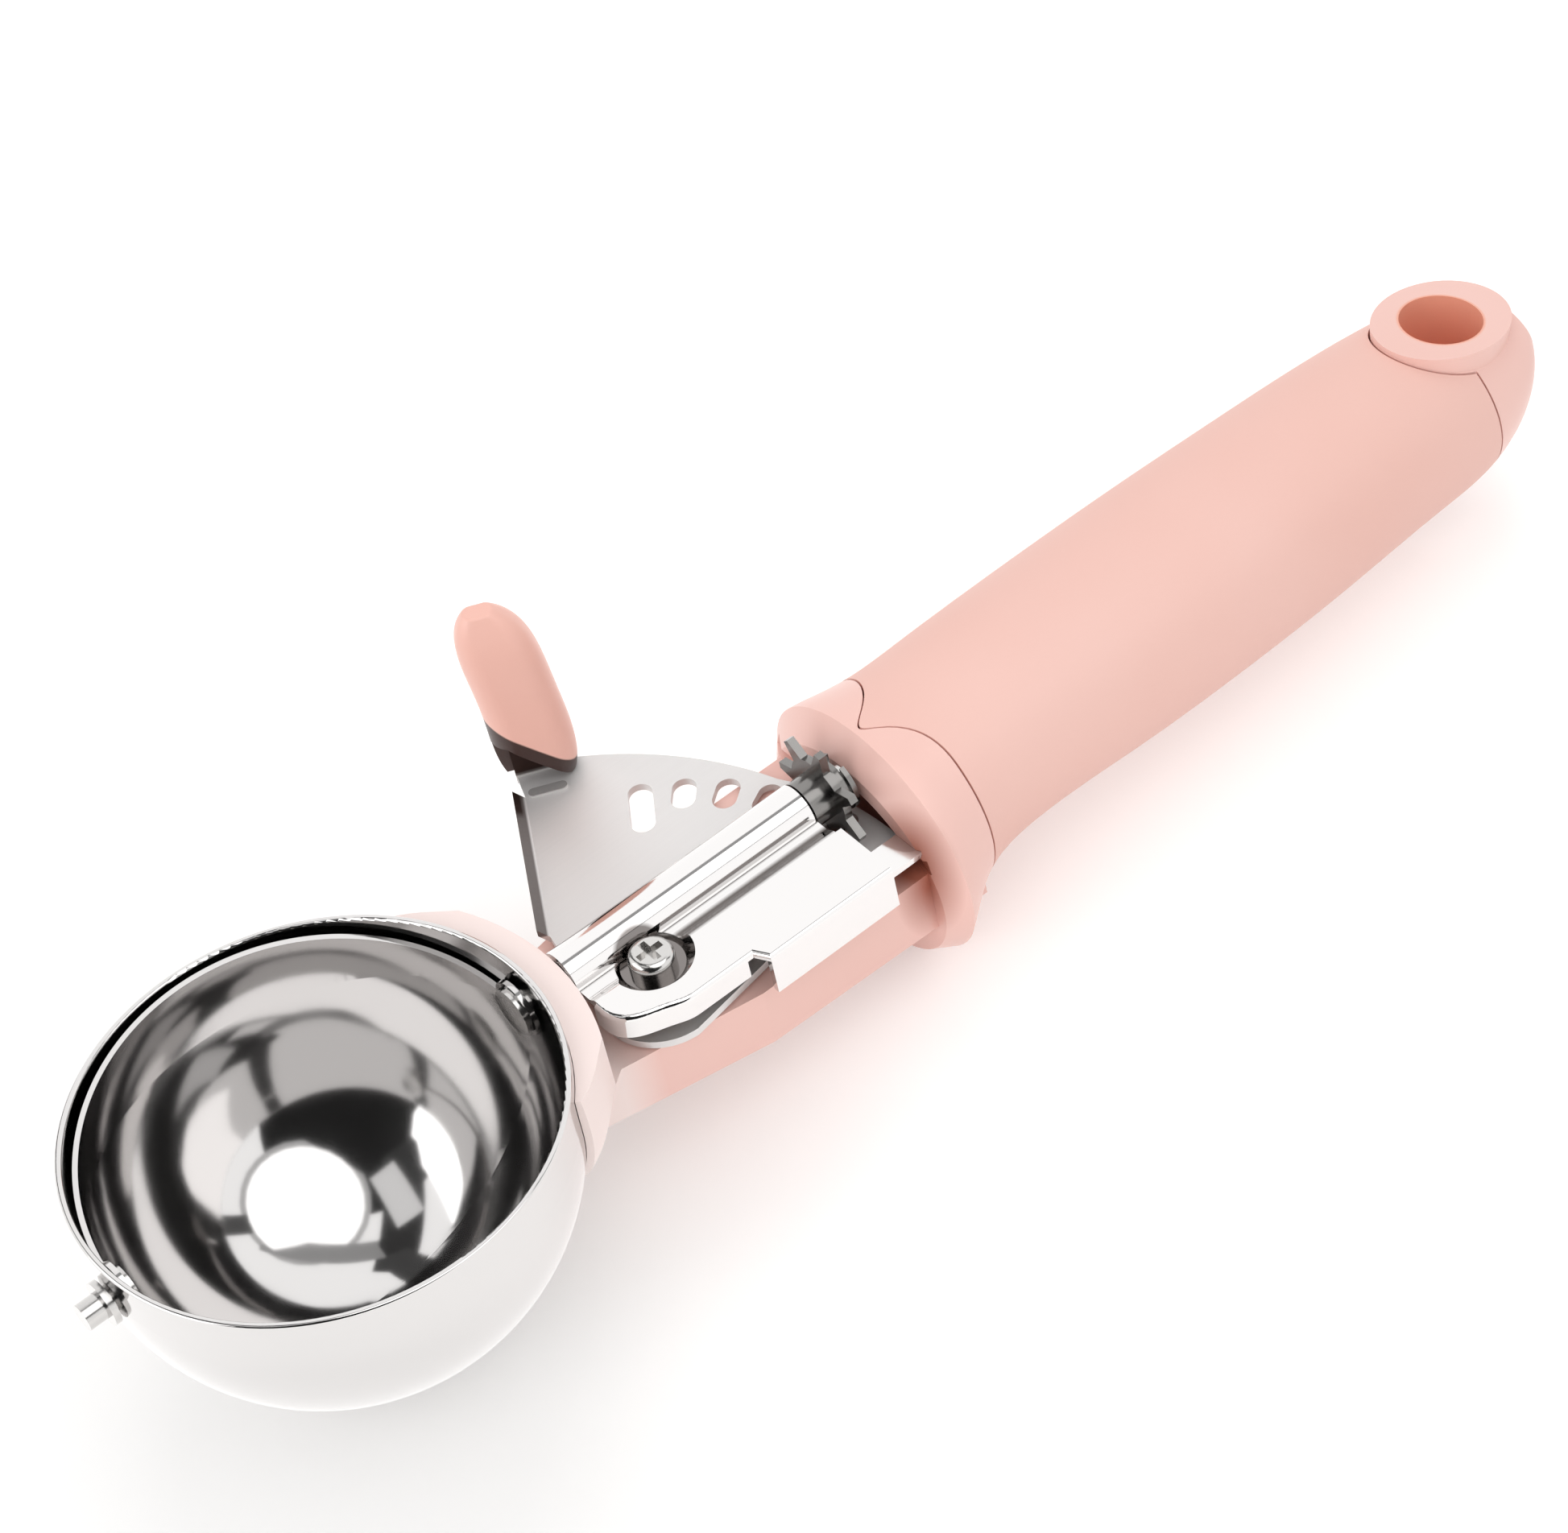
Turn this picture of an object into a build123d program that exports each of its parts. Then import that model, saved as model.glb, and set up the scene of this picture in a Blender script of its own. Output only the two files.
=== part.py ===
from build123d import *
from math import asin, cos, degrees, radians, sin, sqrt, tan
import os

os.makedirs("parts", exist_ok=True)

# An ice cream scoop with a thumb lever. X runs along the sweep shaft towards the handle, Z points out
# of the bowl, and the lever stands on the +Y side. The origin is the centre of the bowl's hemisphere.
# All sizes are in millimetres and all angles in degrees.

# Bowl
bowl_radius = 28.0
bowl_wall = 0.8
rim_height = 5.7
rim_round = 0.3

# Sweeper
blade_gap = 0.3
blade_sheet = 0.6
blade_top_angle = 11.5
blade_bottom_angle = -9.0
blade_ear_radius = 3.6
shaft_radius = 1.7
pin_radius = 1.6
pin_reach = 3.5
pin_head_radius = 2.6
rivet_head_radius = 2.9
rivet_head_height = 0.7
pin_clip_radius = 2.7
pin_clip_thickness = 0.8
pin_clip_gap = 0.25

# Fits
running_clearance = 0.05
free_clearance = 0.3
seat_clearance = 0.02
overrun = 5.0

# Lever sector
pivot_setback = 12.6
pivot_y = -5.9
sector_mid_z = -5.5
sector_sheet = 1.0
sector_outer_radius = 33.0
hole_edge = 3.2
hole_pitch_angle = 9.6
slot_angle = 56.6
tooth_hole_count = 5
tooth_hole_width = 2.9
tooth_hole_length = 4.6
slot_length = 7.6
sector_end_angle = -2.0
bulge_start_angle = 28.0
bulge_angle = 49.5
bulge_share = 1.085
sector_left_distance = 10.9
sector_left_angle = 60.5
sector_boss_radius = 7.0
sector_left_start = 12.0
tab_reach = 6.6
tab_place_angle = 72.7
tab_angle = -27.0
tab_width = 6.4
tab_height = 17.0
lip_width = 2.0
lip_slope = 50.0
lip_end_setback = 4.5
dash_length = 4.6
dash_width = 1.2
dash_height = 0.3
dash_setback = 4.2

# Thumb pad
pad_width = 9.4
pad_depth = 6.4
pad_base_z = -4.7
pad_top_z = 21.5
pad_wall = 1.5
pad_lean = 2.2
pad_width_shares = (0.86, 1.0, 0.97, 0.80, 0.36)
pad_depth_shares = (0.86, 1.0, 0.96, 0.78, 0.36)
pad_height_shares = (0.0, 0.25, 0.6, 0.88, 1.0)
pad_corner_share = 0.44
pad_notch_share = 0.26

# Star wheel
wheel_teeth = 7
wheel_thickness = 1.0
wheel_root_radius = 4.7
wheel_tip_radius = 7.1
tooth_tip_half_width = 0.45
tooth_root_half_width = 1.6
mesh_reach = 4.0
hub_radius = 3.0
hub_front_length = 2.6
hub_rear_length = 1.5
wheel_flange_radius = 3.9
wheel_flange_thickness = 0.5
wheel_clip_radius = 3.5
wheel_clip_thickness = 0.6
wheel_clip_opening_share = 0.8
shaft_end_length = 0.4

# Stamped frame
frame_sheet = 0.8
tunnel_radius = 3.1
frame_setback = 4.4
flat_top_z = 0.4
rail_round = 0.6
step_inner_y = -4.8
groove_right_y = -6.8
rail_setback = 3.9
rail_nose_y = -7.6
rail_shoulder_setback = 9.5
rail_shoulder_y = -12.9
rail_side_y = -13.8
rail_step_setback = 20.6
rail_step_length = 1.0
wall_y = -15.7
wall_bottom_z = -4.7
curl_bottom_z = -2.0
skirt_bottom_z = -4.7
recess_radius = 3.7
recess_slope = 1.2
recess_floor_top_z = -0.1
tang_top_z = -3.6
tang_near_y = -8.2
tang_far_y = -12.4
tang_entry = 0.2
tang_jog_length = 4.0
tang_length = 15.0
tang_inner_y = 1.0
tang_outer_y = -6.2

# Pivot stack
screw_head_radius = 2.7
screw_head_height = 2.2
screw_head_round = 1.0
screw_radius = 1.5
cross_slot_width = 0.9
cross_slot_length = 3.2
cross_slot_depth = 1.1
bush_radius = 2.5
insert_radius = 2.4
insert_length = 5.0
washer_radius = 5.2
washer_thickness = 0.3

# Return spring
spring_wire = 0.5
spring_radius = 3.9
spring_pitch = 0.95
spring_turns = 2.25

# Shaft bushes
bush_length = 4.0
front_bush_setback = 1.0
rear_bush_gap = 0.4

# Neck and saddle
neck_top_z = -6.4
neck_front_overlap = 1.0
neck_root = 7.2
neck_wide_setback = 21.0
neck_front_half_width = 9.4
neck_rear_half_width = 13.2
neck_front_bottom_z = -18.0
neck_rear_bottom_z = -19.5
neck_corner = 4.0
saddle_angle = 41.0
saddle_edge = 0.9
saddle_edge_turn = 60.0
saddle_tail_slope = 20.0
saddle_belly_setback = 1.0
saddle_belly_radius = 13.6
saddle_tail_setback = 7.0
saddle_tail_radius = 10.4
saddle_width = 3.7
saddle_top_z = 3.8
bowl_seat_gap = 0.05
wheel_pocket_depth = 1.6

# Bowl strap
strap_thickness = 1.0
strap_width = 9.0
strap_top_z = -9.0
strap_bottom_z = -16.5
tongue_top_z = -12.0
tongue_setback = 20.5
strap_screw_x_shares = (0.36, 0.86)
strap_screw_radius = 1.25
strap_screw_head_radius = 2.4
strap_screw_head_height = 1.6

# Handle
bevel_length = 2.4
bevel_half_width = 15.0
bevel_half_height = 13.3
bevel_center_z = -11.9
collar_center_z = -10.4
collar_half_width = 17.4
collar_half_height = 15.6
lie_angle = 2.0
handle_length = 101.8
section_x_shares = (0.0, 0.028, 0.063, 0.149, 0.3, 0.471, 0.652, 0.803, 0.913, 0.954, 0.984, 1.0)
section_center_shares = (1.0, 0.856, 0.712, 0.577, 0.567, 0.567, 0.548, 0.529, 0.519, 0.423, 0.25, 0.115)
section_width_shares = (1.0, 0.908, 0.816, 0.764, 0.787, 0.793, 0.753, 0.701, 0.626, 0.557, 0.46, 0.356)
section_height_shares = (1.0, 0.923, 0.833, 0.776, 0.776, 0.769, 0.756, 0.724, 0.647, 0.526, 0.346, 0.218)
mouth_wall = 2.4
mouth_depth = 4.6
mouth_back_center_z = -9.6
mouth_back_half_width = 11.8
mouth_back_half_height = 10.6
grip_wall = 2.2
seam_gap = 0.25
grip_tongue_setback = 3.1
grip_shoulder_setback = 8.6
grip_shoulder_y = 9.6
grip_rear_setback = 10.3
hang_setback = 8.6
hang_radius = 5.0
loop_tilt = 10.0
loop_top_z = 4.8
loop_height = 18.0
loop_half_length = 9.0
loop_half_width = 7.6
loop_foot_inset = 1.4
tang_screw_shares = (0.4, 0.8)
tang_screw_head_top_z = -12.2
tang_screw_radius = 1.5
tang_screw_head_radius = 2.8
tang_screw_head_height = 2.0

# Places worked out from the sizes above
pivot_x = bowl_radius + pivot_setback
hole_circle_radius = sector_outer_radius - hole_edge
blade_outer = bowl_radius - bowl_wall - blade_gap
blade_inner = blade_outer - blade_sheet
sector_top_z = sector_mid_z + sector_sheet / 2
sector_bottom_z = sector_mid_z - sector_sheet / 2
sweep_ratio = 360.0 / wheel_teeth / hole_pitch_angle
near_mesh = sqrt(hole_circle_radius**2 - (mesh_reach - pivot_y) ** 2)
far_mesh = sqrt(hole_circle_radius**2 - (mesh_reach + pivot_y) ** 2)
wheel_mid_x = pivot_x + (near_mesh + far_mesh) / 2
mesh_angle = degrees(asin(-pivot_y / hole_circle_radius))
wheel_front_x = wheel_mid_x - wheel_thickness / 2
wheel_rear_x = wheel_mid_x + wheel_thickness / 2
hub_rear_x = wheel_rear_x + hub_rear_length
shaft_end_x = hub_rear_x + wheel_clip_thickness + shaft_end_length
pivot = (pivot_x, pivot_y)
recess_floor_z = recess_floor_top_z - frame_sheet
insert_bottom_z = neck_top_z - insert_length
tunnel_bore = tunnel_radius - frame_sheet
frame_front_x = bowl_radius + frame_setback
rail_front_x = bowl_radius + rail_setback
rail_shoulder_x = bowl_radius + rail_shoulder_setback
rail_step_x = bowl_radius + rail_step_setback
wall_front_x = rail_step_x + rail_step_length
rail_top_z = flat_top_z + frame_sheet
tunnel_rear_x = wheel_front_x - hub_front_length - free_clearance
wall_rear_x = tunnel_rear_x + frame_sheet
front_bush_x = frame_front_x + front_bush_setback
rear_bush_x = tunnel_rear_x - rear_bush_gap - bush_length
lever_plane = Plane((pivot_x, pivot_y, sector_bottom_z))
collar_front_x = shaft_end_x + free_clearance
neck_front_x = bowl_radius - neck_front_overlap
neck_wide_x = bowl_radius + neck_wide_setback
neck_rear_x = collar_front_x + neck_root
saddle_belly_x = bowl_radius + saddle_belly_setback
saddle_tail_x = bowl_radius + saddle_tail_setback
tongue_end_x = bowl_radius + tongue_setback
handle_end_x = collar_front_x + handle_length
hang_x = handle_end_x - hang_setback
grip_tongue_x = collar_front_x + grip_tongue_setback
grip_shoulder_x = collar_front_x + grip_shoulder_setback
grip_rear_x = handle_end_x - grip_rear_setback
tang_jog_front_x = collar_front_x + tang_entry
tang_jog_rear_x = tang_jog_front_x + tang_jog_length
tang_end_x = tang_jog_rear_x + tang_length
tang_screw_y = (tang_inner_y + tang_outer_y) / 2
tang_screw_places = [
    (tang_jog_rear_x + share * (tang_end_x - tang_jog_rear_x), tang_screw_y)
    for share in tang_screw_shares
]
strap_screw_xs = [bowl_radius + share * (tongue_end_x - bowl_radius) for share in strap_screw_x_shares]


def polar(radius, angle):
    return (radius * cos(radians(angle)), radius * sin(radians(angle)))


def ball_reach(ball_radius, distance):
    return sqrt(ball_radius**2 - distance**2)


def handle_loft(inset, mode=Mode.ADD):
    sections = []
    for x_share, center_share, width_share, height_share in zip(
        section_x_shares, section_center_shares, section_width_shares, section_height_shares
    ):
        x = collar_front_x + bevel_length + x_share * (handle_length - bevel_length)
        with BuildSketch(Plane.YZ.offset(x)) as section:
            with Locations((0, center_share * collar_center_z)):
                Ellipse(
                    width_share * collar_half_width - inset,
                    height_share * collar_half_height - inset,
                )
        sections.append(section.sketch)
    loft(sections, mode=mode)


def bar_along_x(radius, start_x, end_x, mode=Mode.ADD):
    with BuildSketch(Plane.YZ.offset(start_x)) as section:
        Circle(radius)
    extrude(section.sketch, amount=end_x - start_x, mode=mode)


def ring_along_x(outer, inner, start_x, length):
    with BuildSketch(Plane.YZ.offset(start_x)) as section:
        Circle(outer)
        Circle(inner, mode=Mode.SUBTRACT)
    extrude(section.sketch, amount=length)


def bar_along_z(center, radius, start_z, end_z, mode=Mode.ADD):
    with BuildSketch(Plane.XY.offset(start_z)) as section:
        with Locations(center):
            Circle(radius)
    extrude(section.sketch, amount=end_z - start_z, mode=mode)


def block(corner, opposite, mode=Mode.ADD):
    with BuildSketch(Plane.XY.offset(corner[2])) as section:
        with Locations(((corner[0] + opposite[0]) / 2, (corner[1] + opposite[1]) / 2)):
            Rectangle(abs(opposite[0] - corner[0]), abs(opposite[1] - corner[1]))
    extrude(section.sketch, amount=opposite[2] - corner[2], mode=mode)


def tang_strip(room, mode=Mode.ADD):
    with BuildSketch(Plane.XY.offset(tang_top_z - frame_sheet - room)) as section:
        with BuildLine():
            Polyline(
                (wall_rear_x - frame_sheet, tang_near_y + room),
                (tang_jog_front_x + room, tang_near_y + room),
                (tang_jog_rear_x, tang_inner_y + room),
                (tang_end_x + room, tang_inner_y + room),
                (tang_end_x + room, tang_outer_y - room),
                (tang_jog_rear_x - room, tang_outer_y - room),
                (tang_jog_front_x - room, tang_far_y - room),
                (wall_rear_x - frame_sheet, tang_far_y - room),
                close=True,
            )
        make_face()
    extrude(section.sketch, amount=frame_sheet + 2 * room, mode=mode)


# Bowl: a deep-drawn hemisphere with a straight band up to the rim
bowl_bore = bowl_radius - bowl_wall
with BuildPart() as bowl:
    with BuildSketch(Plane.XZ):
        with BuildLine():
            CenterArc((0, 0), bowl_radius, -90, 90)
            Line((bowl_radius, 0), (bowl_radius, rim_height))
            Line((bowl_radius, rim_height), (bowl_bore, rim_height))
            Line((bowl_bore, rim_height), (bowl_bore, 0))
            CenterArc((0, 0), bowl_bore, -90, 90)
            Line((0, -bowl_bore), (0, -bowl_radius))
        make_face()
    revolve(axis=Axis.Z)
    fillet(bowl.edges().group_by(Axis.Z)[-1], rim_round)
    bar_along_x(shaft_radius + running_clearance, 0, bowl_radius + overrun, Mode.SUBTRACT)
    bar_along_x(pin_radius + running_clearance, 0, -bowl_radius - overrun, Mode.SUBTRACT)
bowl.part.label = "bowl"
export_step(bowl.part, "parts/bowl.step")

# Sweeper blade: a slice of a thin ball with a round ear at each pivot
with BuildPart() as sweeper_blade:
    Sphere(blade_outer)
    Sphere(blade_inner, mode=Mode.SUBTRACT)
    with BuildSketch(Plane.YZ):
        with BuildLine():
            Polyline(
                (0, 0),
                polar(bowl_radius, blade_bottom_angle),
                polar(bowl_radius, blade_top_angle),
                close=True,
            )
        make_face()
        Circle(blade_ear_radius)
    extrude(amount=bowl_radius, both=True, mode=Mode.INTERSECT)
    bar_along_x(shaft_radius, 0, bowl_radius, Mode.SUBTRACT)
    bar_along_x(pin_radius, 0, -bowl_radius, Mode.SUBTRACT)
sweeper_blade.part.label = "sweeper_blade"
export_step(sweeper_blade.part, "parts/sweeper_blade.step")

# Front pivot pin: riveted to the blade, it turns in the bowl's front hole
pin_seat_x = -ball_reach(blade_inner, pin_head_radius)
pin_tip_x = -bowl_radius - pin_reach
with BuildPart() as front_pivot_pin:
    bar_along_x(pin_head_radius, pin_seat_x + rivet_head_height, pin_seat_x)
    bar_along_x(pin_radius, pin_seat_x, pin_tip_x)
front_pivot_pin.part.label = "front_pivot_pin"
export_step(front_pivot_pin.part, "parts/front_pivot_pin.step")

# Retaining ring on the pin, outside the bowl
with BuildPart() as front_pin_clip:
    clip_x = -bowl_radius - pin_clip_gap - pin_clip_thickness
    ring_along_x(pin_clip_radius, pin_radius, clip_x, pin_clip_thickness)
front_pin_clip.part.label = "front_pin_clip"
export_step(front_pin_clip.part, "parts/front_pin_clip.step")

# Sweep shaft: riveted to the blade's rear ear, it runs through the frame's tunnel
rivet_seat_x = ball_reach(blade_inner, rivet_head_radius)
with BuildPart() as sweep_shaft:
    bar_along_x(rivet_head_radius, rivet_seat_x - rivet_head_height, rivet_seat_x)
    bar_along_x(shaft_radius, rivet_seat_x, shaft_end_x)
sweep_shaft.part.label = "sweep_shaft"
export_step(sweep_shaft.part, "parts/sweep_shaft.step")

# Star wheel: stamped teeth that walk along the row of holes in the sector
with BuildPart() as star_wheel:
    with BuildSketch(Plane.YZ.offset(wheel_front_x)):
        Circle(wheel_root_radius)
        for tooth in range(wheel_teeth):
            rest_hole_angle = slot_angle - tooth_hole_count * hole_pitch_angle
            rest_angle = sweep_ratio * (rest_hole_angle - mesh_angle) + tooth * 360.0 / wheel_teeth
            with BuildLine(Location((0, 0, 0), (0, 0, rest_angle))):
                Polyline(
                    (-tooth_root_half_width, -wheel_root_radius / 2),
                    (-tooth_tip_half_width, -wheel_tip_radius),
                    (tooth_tip_half_width, -wheel_tip_radius),
                    (tooth_root_half_width, -wheel_root_radius / 2),
                    close=True,
                )
            make_face()
    extrude(amount=wheel_thickness)
    bar_along_x(hub_radius, wheel_front_x - hub_front_length, hub_rear_x)
    bar_along_x(wheel_flange_radius, wheel_rear_x, wheel_rear_x + wheel_flange_thickness)
    bar_along_x(shaft_radius, wheel_front_x - hub_front_length, hub_rear_x, Mode.SUBTRACT)
star_wheel.part.label = "star_wheel"
export_step(star_wheel.part, "parts/star_wheel.step")

# Spring clip that keeps the wheel on the shaft
with BuildPart() as wheel_clip:
    ring_along_x(wheel_clip_radius, shaft_radius, hub_rear_x, wheel_clip_thickness)
    block(
        (hub_rear_x - overrun, -wheel_clip_opening_share * shaft_radius, 0),
        (hub_rear_x + overrun, wheel_clip_opening_share * shaft_radius, wheel_clip_radius + overrun),
        Mode.SUBTRACT,
    )
wheel_clip.part.label = "wheel_clip"
export_step(wheel_clip.part, "parts/wheel_clip.step")

# Shaft bushes: plain rings held in the tunnel, one behind the bowl and one ahead of the wheel
for name, start_x in (("front_shaft_bush", front_bush_x), ("rear_shaft_bush", rear_bush_x)):
    with BuildPart() as shaft_bush:
        ring_along_x(tunnel_bore - seat_clearance, shaft_radius + running_clearance, start_x, bush_length)
    shaft_bush.part.label = name
    export_step(shaft_bush.part, f"parts/{name}.step")

# Stamped frame: tunnel over the shaft, sunk flat with the screw recess, rail, side wall and tang
flat_bottom_z = flat_top_z - frame_sheet
rail_bottom_z = rail_top_z - frame_sheet
tang_bottom_z = tang_top_z - frame_sheet
with BuildPart() as frame:
    with BuildSketch(Plane.XY.offset(curl_bottom_z)):
        with BuildLine():
            Polyline(
                (rail_front_x, rail_nose_y),
                (rail_front_x, groove_right_y),
                (wall_rear_x, groove_right_y),
                (wall_rear_x, wall_y),
                (wall_front_x, wall_y),
                (rail_step_x, rail_side_y),
                (rail_shoulder_x + tunnel_radius, rail_side_y),
            )
            Spline(
                (rail_shoulder_x + tunnel_radius, rail_side_y),
                (rail_shoulder_x, rail_shoulder_y),
                (rail_front_x, rail_nose_y),
                tangents=((-1, 0), (0, 1)),
            )
        make_face()
    extrude(amount=rail_top_z - curl_bottom_z)
    # Rounded bend along the outer edge of the rail
    bends = [
        edge
        for edge in frame.faces().sort_by(Axis.Z)[-1].edges()
        if edge.center().Y < groove_right_y - rail_round and edge.center().X < wall_rear_x - rail_round
    ]
    fillet(bends, rail_round)
    # Hollow under the rail, open along the groove and behind the step
    with BuildSketch(Plane.XY.offset(curl_bottom_z)):
        with BuildLine():
            Polyline(
                (rail_front_x + frame_sheet, rail_nose_y),
                (rail_front_x + frame_sheet, 0),
                (wall_rear_x + overrun, 0),
                (wall_rear_x + overrun, wall_y + frame_sheet),
                (wall_front_x, wall_y + frame_sheet),
                (rail_step_x, rail_side_y + frame_sheet),
                (rail_shoulder_x + tunnel_radius, rail_side_y + frame_sheet),
            )
            Spline(
                (rail_shoulder_x + tunnel_radius, rail_side_y + frame_sheet),
                (rail_shoulder_x + frame_sheet / 2, rail_shoulder_y + frame_sheet),
                (rail_front_x + frame_sheet, rail_nose_y),
                tangents=((-1, 0), (0, 1)),
            )
        make_face()
    extrude(amount=rail_bottom_z - curl_bottom_z, mode=Mode.SUBTRACT)
    # Notch between the curled front flange and the side wall
    block(
        (rail_step_x - frame_sheet, wall_y - overrun, curl_bottom_z - overrun),
        (wall_front_x, rail_side_y + 2 * frame_sheet, rail_bottom_z),
        Mode.SUBTRACT,
    )
    block((wall_front_x, wall_y, wall_bottom_z), (wall_rear_x, wall_y + frame_sheet, rail_bottom_z))
    # Sunk flat beside the tunnel, and the smooth slope from it up to the rail
    with BuildSketch(Plane.YZ.offset(frame_front_x)):
        with BuildLine():
            Polyline(
                (groove_right_y, rail_top_z),
                (groove_right_y - frame_sheet, rail_top_z),
                (groove_right_y - frame_sheet, rail_bottom_z),
                (groove_right_y, rail_bottom_z),
                (step_inner_y, flat_bottom_z),
                (-tunnel_bore, flat_bottom_z),
                (-tunnel_bore, flat_top_z),
                (step_inner_y, flat_top_z),
            )
            Spline(
                (step_inner_y, flat_top_z),
                (groove_right_y, rail_top_z),
                tangents=((-1, 0), (-1, 0)),
            )
        make_face()
    extrude(amount=tunnel_rear_x - frame_front_x)
    # Screw recess with sloping sides, sunk through the flat and the rail's edge
    bar_along_z(pivot, recess_radius + recess_slope + frame_sheet, recess_floor_z, flat_top_z)
    recess_depth = rail_top_z - recess_floor_top_z
    with Locations((pivot_x, pivot_y, recess_floor_top_z + recess_depth / 2)):
        Cone(recess_radius, recess_radius + recess_slope, recess_depth, mode=Mode.SUBTRACT)
    with BuildSketch(Plane.YZ.offset(frame_front_x)):
        Circle(tunnel_radius)
        with Locations((0, skirt_bottom_z / 2)):
            Rectangle(2 * tunnel_radius, -skirt_bottom_z)
        Circle(tunnel_bore, mode=Mode.SUBTRACT)
        with Locations((-tunnel_radius + tunnel_bore, (skirt_bottom_z - overrun) / 2)):
            Rectangle(2 * tunnel_radius, -skirt_bottom_z + overrun, mode=Mode.SUBTRACT)
        with Locations((0, (skirt_bottom_z - overrun) / 2)):
            Rectangle(2 * tunnel_bore, -skirt_bottom_z + overrun, mode=Mode.SUBTRACT)
    extrude(amount=tunnel_rear_x - frame_front_x)
    bar_along_x(tunnel_bore, frame_front_x, tunnel_rear_x, Mode.SUBTRACT)
    bar_along_z(pivot, screw_radius + running_clearance, recess_floor_z, recess_floor_top_z, Mode.SUBTRACT)
    # Tang that drops behind the rail and runs past the wheel into the handle
    block((wall_rear_x - frame_sheet, tang_far_y, tang_bottom_z), (wall_rear_x, tang_near_y, rail_top_z))
    tang_strip(0)
    for place in tang_screw_places:
        bar_along_z(place, tang_screw_radius, tang_bottom_z, tang_top_z, Mode.SUBTRACT)
frame.part.label = "frame"
export_step(frame.part, "parts/frame.step")

# Lever sector: flat plate with its row of holes, a stiffening lip and the bent-up thumb tab
left_normal = polar(1, sector_left_angle + 90)
left_along = polar(1, sector_left_angle)


def left_point(distance, along):
    return (
        distance * left_normal[0] + along * left_along[0],
        distance * left_normal[1] + along * left_along[1],
    )


tab_along = polar(1, tab_angle)
tab_out = polar(1, tab_angle + 90)
tab_local = polar(sector_outer_radius + tab_reach, tab_place_angle)
tab_x = pivot_x + tab_local[0]
tab_y = pivot_y + tab_local[1]
tab_left = (tab_local[0] - tab_along[0] * tab_width / 2, tab_local[1] - tab_along[1] * tab_width / 2)
tab_right = (tab_local[0] + tab_along[0] * tab_width / 2, tab_local[1] + tab_along[1] * tab_width / 2)
tab_right_radius = sqrt(tab_right[0] ** 2 + tab_right[1] ** 2)
bulge_start = polar(sector_outer_radius, bulge_start_angle)
lip_start = sector_left_start
lip_end = tab_left[0] * left_along[0] + tab_left[1] * left_along[1] - lip_end_setback
with BuildPart() as lever_sector:
    with BuildSketch(lever_plane):
        with BuildLine():
            ThreePointArc(bulge_start, polar(bulge_share * sector_outer_radius, bulge_angle), tab_right)
            Polyline(
                tab_right,
                tab_left,
                left_point(sector_left_distance, lip_end),
                left_point(sector_left_distance, lip_start),
                polar(sector_boss_radius, 180),
            )
            CenterArc((0, 0), sector_boss_radius, 180, 90 + sector_end_angle)
            Line(
                polar(sector_boss_radius, 270 + sector_end_angle),
                polar(sector_outer_radius, sector_end_angle),
            )
            CenterArc((0, 0), sector_outer_radius, sector_end_angle, bulge_start_angle - sector_end_angle)
        make_face()
        for index in range(1, tooth_hole_count + 1):
            angle = slot_angle - index * hole_pitch_angle
            with Locations(Location((*polar(hole_circle_radius, angle), 0), (0, 0, angle))):
                SlotOverall(tooth_hole_length, tooth_hole_width, mode=Mode.SUBTRACT)
        slot_radius = hole_circle_radius - (slot_length - tooth_hole_length) / 2
        with Locations(Location((*polar(slot_radius, slot_angle), 0), (0, 0, slot_angle))):
            SlotOverall(slot_length, tooth_hole_width, mode=Mode.SUBTRACT)
        Circle(bush_radius + running_clearance, mode=Mode.SUBTRACT)
    extrude(amount=sector_sheet)
    # Stiffening lip, bent up along the left edge
    lip_origin = left_point(sector_left_distance, lip_start)
    lip_plane = Plane(
        (pivot_x + lip_origin[0], pivot_y + lip_origin[1], sector_bottom_z),
        x_dir=(left_normal[0], left_normal[1], 0),
        z_dir=(left_along[0], left_along[1], 0),
    )
    lip_rise = lip_width * sin(radians(lip_slope))
    lip_run = lip_width * cos(radians(lip_slope))
    with BuildSketch(lip_plane):
        with BuildLine():
            Polyline(
                (-sector_sheet, 0),
                (0, 0),
                (lip_run, lip_rise),
                (lip_run, lip_rise + sector_sheet),
                (0, sector_sheet),
                (-sector_sheet, sector_sheet),
                close=True,
            )
        make_face()
    extrude(amount=lip_end - lip_start)
    # Thumb tab, bent up from the outer corner
    tab_plane = Plane((tab_x, tab_y, sector_bottom_z), x_dir=(*tab_along, 0), z_dir=(0, 0, 1))
    with BuildSketch(tab_plane):
        with Locations((0, -sector_sheet / 2)):
            Rectangle(tab_width, sector_sheet)
    extrude(amount=tab_height)
    # Short pressed rib beside the tab
    with BuildSketch(tab_plane.offset(sector_sheet)):
        with Locations((0, -dash_setback)):
            SlotOverall(dash_length, dash_width)
    extrude(amount=dash_height)
lever_sector.part.label = "lever_sector"
export_step(lever_sector.part, "parts/lever_sector.step")

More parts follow.
